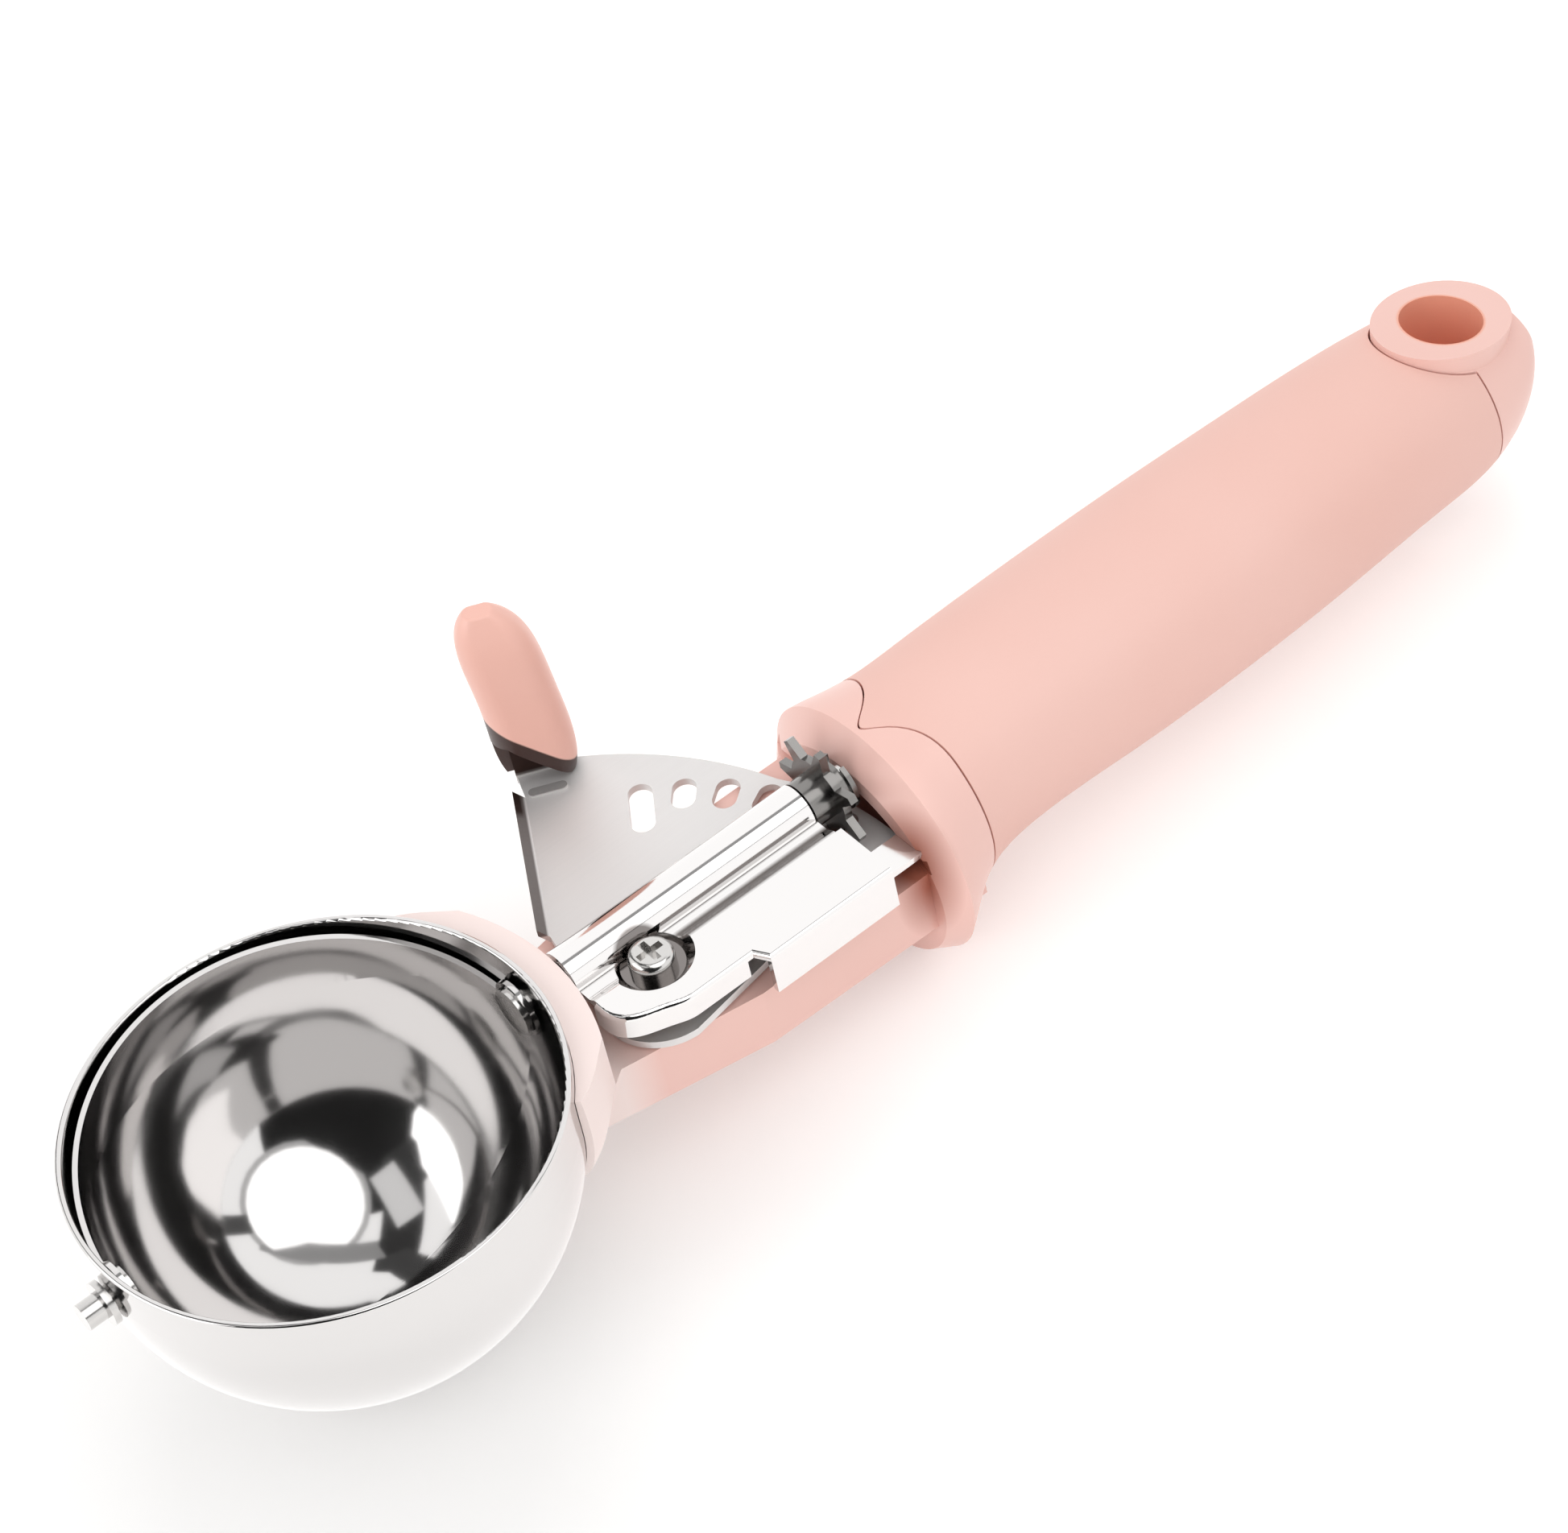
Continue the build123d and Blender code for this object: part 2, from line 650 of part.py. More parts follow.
# Thumb pad: a moulded cap pushed over the tab
pad_height = pad_top_z - pad_base_z
with BuildPart() as thumb_pad:
    for height, width, depth in zip(pad_height_shares, pad_width_shares, pad_depth_shares):
        lean = pad_lean * height**2
        pad_plane = Plane(
            (tab_x - lean * tab_along[0], tab_y - lean * tab_along[1], pad_base_z + height * pad_height),
            x_dir=(*tab_along, 0),
            z_dir=(0, 0, 1),
        )
        with BuildSketch(pad_plane):
            with Locations((0, -sector_sheet / 2)):
                RectangleRounded(
                    width * pad_width, depth * pad_depth, pad_corner_share * depth * pad_depth
                )
    loft()
    fillet(thumb_pad.faces().sort_by(Axis.Z)[-1].edges(), pad_depth_shares[-1] * pad_depth / 4)
    with BuildSketch(tab_plane):
        with Locations((0, -sector_sheet / 2)):
            Rectangle(tab_width + 2 * seat_clearance, sector_sheet + 2 * seat_clearance)
    extrude(amount=tab_height + seat_clearance, mode=Mode.SUBTRACT)
    # Open notch at the foot of the cap, on the side of the handle's axis
    notch_plane = Plane(
        (tab_x, tab_y, pad_base_z), x_dir=(*tab_along, 0), z_dir=(-tab_out[0], -tab_out[1], 0)
    )
    with BuildSketch(notch_plane):
        with BuildLine():
            Polyline(
                (-pad_width, 0),
                (pad_width / 2 - pad_wall, 0),
                (-pad_width / 2 + pad_wall, pad_notch_share * pad_height),
                (-pad_width, pad_notch_share * pad_height),
                close=True,
            )
        make_face()
    extrude(amount=pad_depth, mode=Mode.SUBTRACT)
thumb_pad.part.label = "thumb_pad"
export_step(thumb_pad.part, "parts/thumb_pad.step")

# Pivot screw: pan head with a cross recess
screw_top_z = recess_floor_top_z + screw_head_height
with BuildPart() as pivot_screw:
    bar_along_z(pivot, screw_head_radius, recess_floor_top_z, screw_top_z)
    fillet(pivot_screw.faces().sort_by(Axis.Z)[-1].edges(), screw_head_round)
    with BuildSketch(Plane.XY.offset(screw_top_z - cross_slot_depth)):
        with Locations(pivot):
            Rectangle(cross_slot_length, cross_slot_width)
            Rectangle(cross_slot_width, cross_slot_length)
    extrude(amount=cross_slot_depth, mode=Mode.SUBTRACT)
    bar_along_z(pivot, screw_radius, insert_bottom_z, recess_floor_top_z)
pivot_screw.part.label = "pivot_screw"
export_step(pivot_screw.part, "parts/pivot_screw.step")

# Pivot bush: the sleeve that the sector turns on
with BuildPart() as pivot_bush:
    bar_along_z(pivot, bush_radius, neck_top_z, recess_floor_z)
    bar_along_z(pivot, screw_radius, neck_top_z, recess_floor_z, Mode.SUBTRACT)
pivot_bush.part.label = "pivot_bush"
export_step(pivot_bush.part, "parts/pivot_bush.step")

# Threaded insert in the neck
with BuildPart() as pivot_insert:
    bar_along_z(pivot, insert_radius, insert_bottom_z, neck_top_z)
    bar_along_z(pivot, screw_radius, insert_bottom_z, neck_top_z, Mode.SUBTRACT)
pivot_insert.part.label = "pivot_insert"
export_step(pivot_insert.part, "parts/pivot_insert.step")

# Washer that the sector slides on
with BuildPart() as pivot_washer:
    bar_along_z(pivot, washer_radius, neck_top_z, neck_top_z + washer_thickness)
    bar_along_z(pivot, bush_radius, neck_top_z, neck_top_z + washer_thickness, Mode.SUBTRACT)
pivot_washer.part.label = "pivot_washer"
export_step(pivot_washer.part, "parts/pivot_washer.step")

# Return spring: a torsion coil round the bush, between the sector and the frame
spring_start_z = sector_top_z + spring_wire
spring_height = spring_turns * spring_pitch
with BuildPart() as return_spring:
    with BuildLine():
        Helix(spring_pitch, spring_height, spring_radius, center=(pivot_x, pivot_y, spring_start_z))
    with BuildSketch(Plane((pivot_x + spring_radius, pivot_y, spring_start_z), z_dir=(0, 1, 0))):
        Circle(spring_wire / 2)
    sweep(is_frenet=True)
return_spring.part.label = "return_spring"
export_step(return_spring.part, "parts/return_spring.step")
print("least gap of the return spring to itself", round(spring_pitch - spring_wire, 3), "mm")

# Bowl strap: a formed bracket welded to the bowl, with a tongue that is screwed into the neck
strap_ball = bowl_radius + strap_thickness
tongue_bottom_z = tongue_top_z - strap_thickness
with BuildPart() as strap_blank:
    Sphere(strap_ball)
    with BuildSketch(Plane.XY.offset(strap_bottom_z)):
        with Locations((strap_ball / 2, 0)):
            Rectangle(strap_ball, strap_width)
    extrude(amount=strap_top_z - strap_bottom_z, mode=Mode.INTERSECT)
    block(
        (ball_reach(strap_ball, tongue_top_z) - strap_thickness / 2, -strap_width / 2, tongue_bottom_z),
        (tongue_end_x, strap_width / 2, tongue_top_z),
    )
with BuildPart() as bowl_strap:
    add(strap_blank.part)
    Sphere(bowl_radius, mode=Mode.SUBTRACT)
    for screw_x in strap_screw_xs:
        bar_along_z((screw_x, 0), strap_screw_radius, tongue_bottom_z, tongue_top_z, Mode.SUBTRACT)
bowl_strap.part.label = "bowl_strap"
export_step(bowl_strap.part, "parts/bowl_strap.step")


def lie_height(x):
    """Height of the table under the tool as it lies on its bowl and collar."""
    return x * tan(radians(lie_angle)) - bowl_radius / cos(radians(lie_angle))


def neck_bottom(x):
    share = (x - neck_front_x) / (neck_rear_x - neck_front_x)
    return neck_front_bottom_z + share * (neck_rear_bottom_z - neck_front_bottom_z)


# Strap screws, driven up from under the neck
with BuildPart() as strap_screws:
    for screw_x in strap_screw_xs:
        head_top_z = neck_bottom(screw_x) + strap_screw_head_height + free_clearance
        bar_along_z((screw_x, 0), strap_screw_radius, head_top_z, tongue_top_z)
        bar_along_z((screw_x, 0), strap_screw_head_radius, head_top_z - strap_screw_head_height, head_top_z)
strap_screws.part.label = "strap_screws"
export_step(strap_screws.part, "parts/strap_screws.step")

# Tang screws, driven up through the core before the grip goes on
tang_screw_head_z = tang_screw_head_top_z - tang_screw_head_height
with BuildPart() as tang_screws:
    for place in tang_screw_places:
        bar_along_z(place, tang_screw_radius, tang_screw_head_top_z, tang_top_z)
        bar_along_z(place, tang_screw_head_radius, tang_screw_head_z, tang_screw_head_top_z)
tang_screws.part.label = "tang_screws"
export_step(tang_screws.part, "parts/tang_screws.step")

# Hanging loop: a tilted oval post at the end of the handle
loop_out = (sin(radians(loop_tilt)), 0, cos(radians(loop_tilt)))
loop_plane = Plane((hang_x, 0, loop_top_z), x_dir=(loop_out[2], 0, -loop_out[0]), z_dir=loop_out)
loop_foot_plane = loop_plane.offset(-loop_height)


def loop_post(room, mode=Mode.ADD):
    ends = []
    for plane, inset in ((loop_plane, 0), (loop_foot_plane, loop_foot_inset)):
        with BuildSketch(plane) as end:
            Ellipse(loop_half_length - inset + room, loop_half_width - inset + room)
        ends.append(end.sketch)
    loft(ends, mode=mode)


# Grip outline in plan: a tongue over the collar in front, and a round cut about the hanging loop behind
def grip_plan(room):
    front_x = grip_shoulder_x + room
    with BuildSketch(Plane.XY.offset(-bowl_radius)) as plan:
        with BuildLine():
            Polyline(
                (front_x, grip_shoulder_y),
                (front_x, bowl_radius),
                (grip_rear_x - room, bowl_radius),
                (grip_rear_x - room, -bowl_radius),
                (front_x, -bowl_radius),
                (front_x, -grip_shoulder_y),
            )
            Spline(
                (front_x, -grip_shoulder_y),
                (grip_tongue_x + room, 0),
                (front_x, grip_shoulder_y),
                tangents=((0, 1), (0, 1)),
            )
        make_face()
        with Locations((hang_x, 0)):
            Ellipse(loop_half_length + room, loop_half_width + room, mode=Mode.SUBTRACT)
    return plan.sketch


# Grip sleeve: soft skin moulded round the core, with a fine seam at both ends
with BuildPart() as grip_sleeve:
    handle_loft(0)
    extrude(grip_plan(seam_gap), amount=2 * bowl_radius, mode=Mode.INTERSECT)
    handle_loft(grip_wall, Mode.SUBTRACT)
    loop_post(seam_gap, Mode.SUBTRACT)
grip_sleeve.part.label = "grip_sleeve"
export_step(grip_sleeve.part, "parts/grip_sleeve.step")

# Handle core: one hard moulding with the saddle, neck, collar, core and hanging loop
with BuildPart() as handle_core:
    handle_loft(0)
    extrude(grip_plan(0), amount=2 * bowl_radius, mode=Mode.SUBTRACT)
    handle_loft(grip_wall)
    # Hanging loop with its two flat faces and its hole
    for plane, depth in ((loop_plane, bowl_radius), (loop_foot_plane, -bowl_radius)):
        with BuildSketch(plane):
            Ellipse(loop_half_length, loop_half_width)
        extrude(amount=depth, mode=Mode.SUBTRACT)
    loop_post(0)
    with BuildSketch(loop_plane.offset(overrun)):
        Circle(hang_radius)
    extrude(amount=-loop_height - 2 * overrun, mode=Mode.SUBTRACT)
    # Bevelled front of the collar and its hollow mouth
    with BuildSketch(Plane.YZ.offset(collar_front_x)):
        with Locations((0, bevel_center_z)):
            Ellipse(bevel_half_width, bevel_half_height)
    with BuildSketch(Plane.YZ.offset(collar_front_x + bevel_length)):
        with Locations((0, collar_center_z)):
            Ellipse(collar_half_width, collar_half_height)
    loft(ruled=True)
    with BuildSketch(Plane.YZ.offset(collar_front_x)):
        with Locations((0, bevel_center_z)):
            Ellipse(bevel_half_width - mouth_wall, bevel_half_height - mouth_wall)
    with BuildSketch(Plane.YZ.offset(collar_front_x + mouth_depth)):
        with Locations((0, mouth_back_center_z)):
            Ellipse(mouth_back_half_width, mouth_back_half_height)
    loft(mode=Mode.SUBTRACT)
    # Flat under the collar, on which the tool lies with its bowl
    with BuildSketch(Plane.XZ):
        with BuildLine():
            Polyline(
                (collar_front_x - overrun, lie_height(collar_front_x - overrun)),
                (handle_end_x, lie_height(handle_end_x)),
                (handle_end_x, -2 * bowl_radius),
                (collar_front_x - overrun, -2 * bowl_radius),
                close=True,
            )
        make_face()
    extrude(amount=bowl_radius, both=True, mode=Mode.SUBTRACT)
    # Neck beam from the saddle into the collar
    neck_ends = (
        (neck_front_x, neck_front_half_width, neck_bottom(neck_front_x)),
        (neck_wide_x, neck_rear_half_width, neck_bottom(neck_wide_x)),
        (neck_rear_x, neck_rear_half_width, neck_bottom(neck_rear_x)),
    )
    for x, half_width, bottom_z in neck_ends:
        with BuildSketch(Plane.YZ.offset(x)):
            with BuildLine():
                Polyline(
                    (-half_width, neck_top_z),
                    (half_width, neck_top_z),
                    (half_width, bottom_z + neck_corner),
                    (half_width - neck_corner, bottom_z),
                    (neck_corner - half_width, bottom_z),
                    (-half_width, bottom_z + neck_corner),
                    close=True,
                )
            make_face()
    loft(ruled=True)
    # Saddle that cups the back of the bowl
    saddle_edge_point = polar(bowl_radius, saddle_angle)
    saddle_outer_point = polar(bowl_radius + saddle_edge, saddle_angle)
    with BuildSketch(Plane.XY):
        with BuildLine():
            Polyline((saddle_tail_x, 0), (0, 0), saddle_edge_point, saddle_outer_point)
            Spline(
                saddle_outer_point,
                (saddle_belly_x, saddle_belly_radius),
                (saddle_tail_x, saddle_tail_radius),
                tangents=(polar(1, saddle_angle - saddle_edge_turn), polar(1, -saddle_tail_slope)),
            )
            Line((saddle_tail_x, saddle_tail_radius), (saddle_tail_x, 0))
        make_face()
    revolve(axis=Axis.X)
    with BuildSketch(Plane.XY.offset(neck_top_z)):
        with Locations((collar_front_x / 2, 0)):
            Rectangle(collar_front_x, 4 * bowl_radius)
        Circle(bowl_radius + saddle_width, mode=Mode.SUBTRACT)
    extrude(amount=2 * bowl_radius, mode=Mode.SUBTRACT)
    block(
        (0, -2 * bowl_radius, saddle_top_z),
        (saddle_tail_x, 2 * bowl_radius, 2 * bowl_radius),
        Mode.SUBTRACT,
    )
    # Seats for the strap, bowl, shaft, wheel, insert, screws and tang
    add(strap_blank.part, mode=Mode.SUBTRACT)
    Sphere(bowl_radius + bowl_seat_gap, mode=Mode.SUBTRACT)
    bar_along_z((0, 0), bowl_radius + bowl_seat_gap, 0, bowl_radius, Mode.SUBTRACT)
    bar_along_x(shaft_radius + free_clearance, 0, saddle_tail_x + overrun, Mode.SUBTRACT)
    pocket_reach = wheel_thickness / 2 + 2 * free_clearance
    pocket_bottom_z = neck_top_z - wheel_pocket_depth
    block(
        (wheel_mid_x - pocket_reach, -wheel_tip_radius, pocket_bottom_z),
        (wheel_mid_x + pocket_reach, wheel_tip_radius, neck_top_z),
        Mode.SUBTRACT,
    )
    bar_along_z(pivot, insert_radius, insert_bottom_z, neck_top_z, Mode.SUBTRACT)
    for screw_x in strap_screw_xs:
        head_top_z = neck_bottom(screw_x) + strap_screw_head_height + free_clearance
        bar_along_z((screw_x, 0), strap_screw_radius, head_top_z, tongue_top_z, Mode.SUBTRACT)
        bar_along_z((screw_x, 0), strap_screw_head_radius, -bowl_radius, head_top_z, Mode.SUBTRACT)
    for place in tang_screw_places:
        bar_along_z(place, tang_screw_radius, tang_screw_head_top_z, tang_top_z, Mode.SUBTRACT)
        bar_along_z(place, tang_screw_head_radius, -bowl_radius, tang_screw_head_top_z, Mode.SUBTRACT)
    tang_strip(seat_clearance, Mode.SUBTRACT)
    # Slot in the collar's rim for the edge of the pressed sector
    with BuildSketch(Plane.XY.offset(sector_bottom_z - free_clearance)):
        with Locations((pivot_x, pivot_y + sector_outer_radius)):
            Rectangle(4 * sector_outer_radius, 2 * sector_outer_radius)
        with Locations(pivot):
            Circle(tab_right_radius + free_clearance, mode=Mode.INTERSECT)
            Circle(sector_outer_radius + free_clearance)
        with Locations((collar_front_x + sector_outer_radius / 2, pivot_y)):
            Rectangle(sector_outer_radius, 4 * sector_outer_radius, mode=Mode.INTERSECT)
    extrude(amount=sector_sheet + 2 * free_clearance, mode=Mode.SUBTRACT)
handle_core.part.label = "handle_core"
export_step(handle_core.part, "parts/handle_core.step")
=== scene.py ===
# %% [markdown]
# # A thumb-lever ice cream scoop
# The object is a hand tool: a round polished bowl, a thin blade that wipes the ball of ice cream out of it, a
# stamped frame with a thumb lever, and a soft pink handle. The CAD model already has every piece in its finished
# form, at its true size in metres and with its joints. This lesson gives every piece a finish made of nodes, then
# sets the tool on a white floor and lights it like a product picture.

import math

import bpy
from mathutils import Matrix, Vector

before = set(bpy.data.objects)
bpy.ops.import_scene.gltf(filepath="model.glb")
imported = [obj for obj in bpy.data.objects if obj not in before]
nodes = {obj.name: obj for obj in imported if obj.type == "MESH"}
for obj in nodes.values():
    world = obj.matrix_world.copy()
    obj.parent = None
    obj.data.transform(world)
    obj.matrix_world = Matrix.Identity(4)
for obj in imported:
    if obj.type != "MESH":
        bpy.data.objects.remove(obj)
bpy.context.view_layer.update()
MM = 0.001

# %% [markdown]
# ## The camera
# The picture was taken from the bowl's side, from about 48 degrees up, with a long lens and the camera rolled
# so that the handle climbs to the right. A camera that is turned by three angles does the same. The lens is
# worked out for a 36 mm wide sensor, and the picture is 1947 by 1904 pixels, so its width is its long side.

# %% Place the camera
sensor_width_mm, lens_mm = 36.0, 108.5
camera_place_mm = (-113.35, -317.07, 380.45)
camera_turn_degrees = (43.526, 9.219, -39.003)
camera_data = bpy.data.cameras.new("product_camera")
camera_data.sensor_width = sensor_width_mm
camera_data.lens = lens_mm
camera = bpy.data.objects.new("product_camera", camera_data)
bpy.context.scene.collection.objects.link(camera)
camera.location = Vector(camera_place_mm) * MM
camera.rotation_euler = [math.radians(angle) for angle in camera_turn_degrees]
bpy.context.scene.camera = camera
print("camera", round(camera.location.length, 3), "m from the bowl's centre")

# %% [markdown]
# ## Small helpers for finishes
# Colours are written as the hex values that a designer would pick on screen. Shaders add light, so they want
# linear values, and one function turns the first into the second. Another adds one node, sets its values and links
# it, so that each finish below reads as a list of nodes. A third starts a material, and the last turns the size of a
# pattern in millimetres into the scale that a texture node wants.


# %% Colour and node helpers
def linear(hex_text):
    channels = [int(hex_text[start : start + 2], 16) / 255 for start in (1, 3, 5)]
    return [c / 12.92 if c <= 0.04045 else ((c + 0.055) / 1.055) ** 2.4 for c in channels] + [1.0]


def add_node(tree, kind, values=(), links=(), **settings):
    node = tree.nodes.new(kind)
    for name, value in settings.items():
        setattr(node, name, value)
    for name, value in values:
        node.inputs[name].default_value = value
    for name, source, output in links:
        tree.links.new(source.outputs[output], node.inputs[name])
    return node


def new_finish(name, **sockets):
    material = bpy.data.materials.new(name)
    material.use_nodes = True
    shader = material.node_tree.nodes["Principled BSDF"]
    for socket, value in sockets.items():
        shader.inputs[socket.replace("_", " ")].default_value = value
    return material, material.node_tree, shader


def per_mm(size):
    return 1 / (size * MM)


print("white is", [round(c, 3) for c in linear("#FFFFFF")], "and mid grey is", round(linear("#808080")[0], 3))

# %% [markdown]
# ## Polished stainless steel
# The bowl, blade and frame are pressed from stainless sheet and buffed on a wheel. Stainless steel gives back
# about six tenths of the light at each bounce, so the bowl grows darker where light has bounced more often. A
# metallic shader with low roughness gives the mirror. A noise of 9 mm moves the roughness a little, as uneven
# buffing does, and one of 1.4 mm gives a very faint bump.

# %% Polished stainless steel
haze_mm, buffing_mm, buffing_depth_mm = 9, 1.4, 0.02
polished_stainless, tree, shader = new_finish("polished_stainless", Metallic=1.0)
shader.inputs["Base Color"].default_value = linear("#C8C6C5")
place = add_node(tree, "ShaderNodeTexCoord")
haze = add_node(
    tree, "ShaderNodeTexNoise", [("Scale", per_mm(haze_mm)), ("Detail", 3.0)], [("Vector", place, "Object")]
)
haze_range = add_node(tree, "ShaderNodeMapRange", [("To Min", 0.05), ("To Max", 0.13)], [("Value", haze, "Fac")])
tree.links.new(haze_range.outputs["Result"], shader.inputs["Roughness"])
buffing = add_node(
    tree, "ShaderNodeTexNoise", [("Scale", per_mm(buffing_mm)), ("Detail", 2.0)], [("Vector", place, "Object")]
)
buffing_bump = add_node(
    tree, "ShaderNodeBump", [("Strength", 0.02), ("Distance", buffing_depth_mm * MM)], [("Height", buffing, "Fac")]
)
tree.links.new(buffing_bump.outputs["Normal"], shader.inputs["Normal"])
print("polished stainless has", len(tree.nodes), "nodes")

# %% [markdown]
# ## Satin stainless steel
# The lever's sector is left as rolled sheet, which has a fine grain along the rolling direction and a soft grey
# shine. A noise that is stretched 25 times along one direction draws the grain. The real grain is about 0.05 mm
# wide, too fine to show, so it is drawn 0.3 mm wide.

# %% Satin stainless steel
grain_mm, grain_stretch, grain_depth_mm = 0.3, 25, 0.02
satin_stainless, tree, shader = new_finish("satin_stainless", Metallic=0.75)
shader.inputs["Base Color"].default_value = linear("#D8D6D5")
place = add_node(tree, "ShaderNodeTexCoord")
along = add_node(
    tree, "ShaderNodeMapping", [("Scale", (1 / grain_stretch, 1.0, 1.0))], [("Vector", place, "Object")]
)
grain = add_node(
    tree, "ShaderNodeTexNoise", [("Scale", per_mm(grain_mm)), ("Detail", 2.0)], [("Vector", along, "Vector")]
)
grain_range = add_node(tree, "ShaderNodeMapRange", [("To Min", 0.52), ("To Max", 0.66)], [("Value", grain, "Fac")])
tree.links.new(grain_range.outputs["Result"], shader.inputs["Roughness"])
grain_bump = add_node(
    tree, "ShaderNodeBump", [("Strength", 0.08), ("Distance", grain_depth_mm * MM)], [("Height", grain, "Fac")]
)
tree.links.new(grain_bump.outputs["Normal"], shader.inputs["Normal"])
print("satin stainless has", len(tree.nodes), "nodes")

# %% [markdown]
# ## Plated steel, spring wire and acetal
# Screws, pins and the shaft are small plated steel pieces, a little duller than the bowl. The star wheel and its
# clip sit in a pocket that lies in shade, so their plated steel is given a darker grey, which is painted shade. The
# return spring is drawn wire, and the shaft bushes and washer are white acetal. Most of them are hidden, but a part
# can be opened, so each has its finish. They differ only in colour, grain and gloss, so one function makes them all.


# %% Finishes of the small pieces
def grained_finish(name, colour, grain_mm, detail, rough_low, rough_high, **sockets):
    material, tree, shader = new_finish(name, **sockets)
    shader.inputs["Base Color"].default_value = linear(colour)
    place = add_node(tree, "ShaderNodeTexCoord")
    grain = add_node(
        tree, "ShaderNodeTexNoise", [("Scale", per_mm(grain_mm)), ("Detail", detail)], [("Vector", place, "Object")]
    )
    rough = add_node(
        tree, "ShaderNodeMapRange", [("To Min", rough_low), ("To Max", rough_high)], [("Value", grain, "Fac")]
    )
    tree.links.new(rough.outputs["Result"], shader.inputs["Roughness"])
    print(name, "has", len(tree.nodes), "nodes")
    return material


# Barrel-plated screw steel: bright, with faint patches of wear.
plated_steel = grained_finish("plated_steel", "#BFBDBB", 1.5, 4.0, 0.1, 0.24, Metallic=1.0)
# Wheel steel under a thin plating: the same wear on a darker grey, which is painted shade of the wheel's pocket.
plated_steel_painted_shade = grained_finish("plated_steel_painted_shade", "#7C7A78", 1.5, 4.0, 0.14, 0.28, Metallic=1.0)
# Drawn spring wire: fine marks of the die that spread its shine.
spring_wire = grained_finish("spring_wire", "#A9A9AC", 0.4, 3.0, 0.22, 0.4, Metallic=1.0)
# Moulded acetal: a waxy white with a soft, slightly uneven gloss.
white_acetal = grained_finish("white_acetal", "#EFEEEA", 0.8, 2.0, 0.3, 0.42, IOR=1.48)

# %% [markdown]
# ## Turned brass
# The pivot bush and insert are turned on a lathe, which leaves rings round them. A wave of bands along the piece's
# height moves the roughness from ring to ring. The wave node draws some three bands in each length of its scale, so
# 6 mm gives a ring about every 1.9 mm, far coarser than a lathe's feed, which would be too fine to show.

# %% Turned brass
three_rings_mm = 6
turned_brass, tree, shader = new_finish("turned_brass", Metallic=1.0)
shader.inputs["Base Color"].default_value = linear("#D8B36A")
place = add_node(tree, "ShaderNodeTexCoord")
rings = add_node(
    tree,
    "ShaderNodeTexWave",
    [("Scale", per_mm(three_rings_mm)), ("Distortion", 0.3)],
    [("Vector", place, "Object")],
    bands_direction="Z",
)
rings_range = add_node(tree, "ShaderNodeMapRange", [("To Min", 0.2), ("To Max", 0.3)], [("Value", rings, "Fac")])
tree.links.new(rings_range.outputs["Result"], shader.inputs["Roughness"])
print("turned brass has", len(tree.nodes), "nodes")

# %% [markdown]
# ## The pinks
# The grip is a soft-touch elastomer moulded over the handle: matt, with a very fine spark texture from the mould.
# The collar, neck and end loop are the hard plastic under it, ABS, a little lighter and with a low gloss. The
# thumb pad is a warmer pink. Each has a slow change of tone across some 30 mm, as moulded colour has, and a fine
# bump whose grain is drawn 0.35 to 0.5 mm wide, coarser than the real one.


# %% Pink finishes
def pink_plastic(name, light_tone, deep_tone, rough_low, rough_high, grain_mm, grain_strength, **sockets):
    drift_mm, grain_depth_mm = 30, 0.05
    material, tree, shader = new_finish(name, **sockets)
    place = add_node(tree, "ShaderNodeTexCoord")
    drift = add_node(
        tree, "ShaderNodeTexNoise", [("Scale", per_mm(drift_mm)), ("Detail", 2.0)], [("Vector", place, "Object")]
    )
    tone = add_node(tree, "ShaderNodeValToRGB", [], [("Fac", drift, "Fac")])
    for stop, position, colour in zip(tone.color_ramp.elements, (0.3, 0.7), (deep_tone, light_tone)):
        stop.position = position
        stop.color = linear(colour)
    tree.links.new(tone.outputs["Color"], shader.inputs["Base Color"])
    spark = add_node(
        tree, "ShaderNodeTexNoise", [("Scale", per_mm(grain_mm)), ("Detail", 2.0)], [("Vector", place, "Object")]
    )
    rough = add_node(
        tree, "ShaderNodeMapRange", [("To Min", rough_low), ("To Max", rough_high)], [("Value", spark, "Fac")]
    )
    tree.links.new(rough.outputs["Result"], shader.inputs["Roughness"])
    bump = add_node(
        tree,
        "ShaderNodeBump",
        [("Strength", grain_strength), ("Distance", grain_depth_mm * MM)],
        [("Height", spark, "Fac")],
    )
    tree.links.new(bump.outputs["Normal"], shader.inputs["Normal"])
    print(name, "has", len(tree.nodes), "nodes")
    return material


soft_pink = pink_plastic("soft_touch_pink", "#F1C5BA", "#EEBFB3", 0.52, 0.66, 0.35, 0.25, IOR=1.5)
collar_pink = pink_plastic("moulded_pink_abs", "#F4C9BF", "#F1C3B8", 0.3, 0.4, 0.5, 0.08, IOR=1.53)
pad_pink = pink_plastic("thumb_pad_pink", "#F5C2B4", "#F2BBAC", 0.34, 0.46, 0.4, 0.12, IOR=1.5)

# %% [markdown]
# ## A deeper pink in the hanging hole
# Light that falls into the hanging hole bounces from pink wall to pink wall and comes out a deep orange. It is a
# place on the part, so a mask by the distance from the hole's axis mixes the colour in. Three Mapping nodes bring the
# hole's top to the middle, turn its axis upright and flatten what is left. A new helper mixes a colour in by a mask.


# %% Deeper hanging hole
def tint_where(material, mask, colour):
    tree = material.node_tree
    base = tree.nodes["Principled BSDF"].inputs["Base Color"]
    mix = add_node(
        tree,
        "ShaderNodeMixRGB",
        [("Color1", base.default_value), ("Color2", linear(colour))],
        [("Fac", mask, "Result")],
    )
    if base.links:
        tree.links.new(base.links[0].from_socket, mix.inputs["Color1"])
    tree.links.new(mix.outputs["Color"], base)


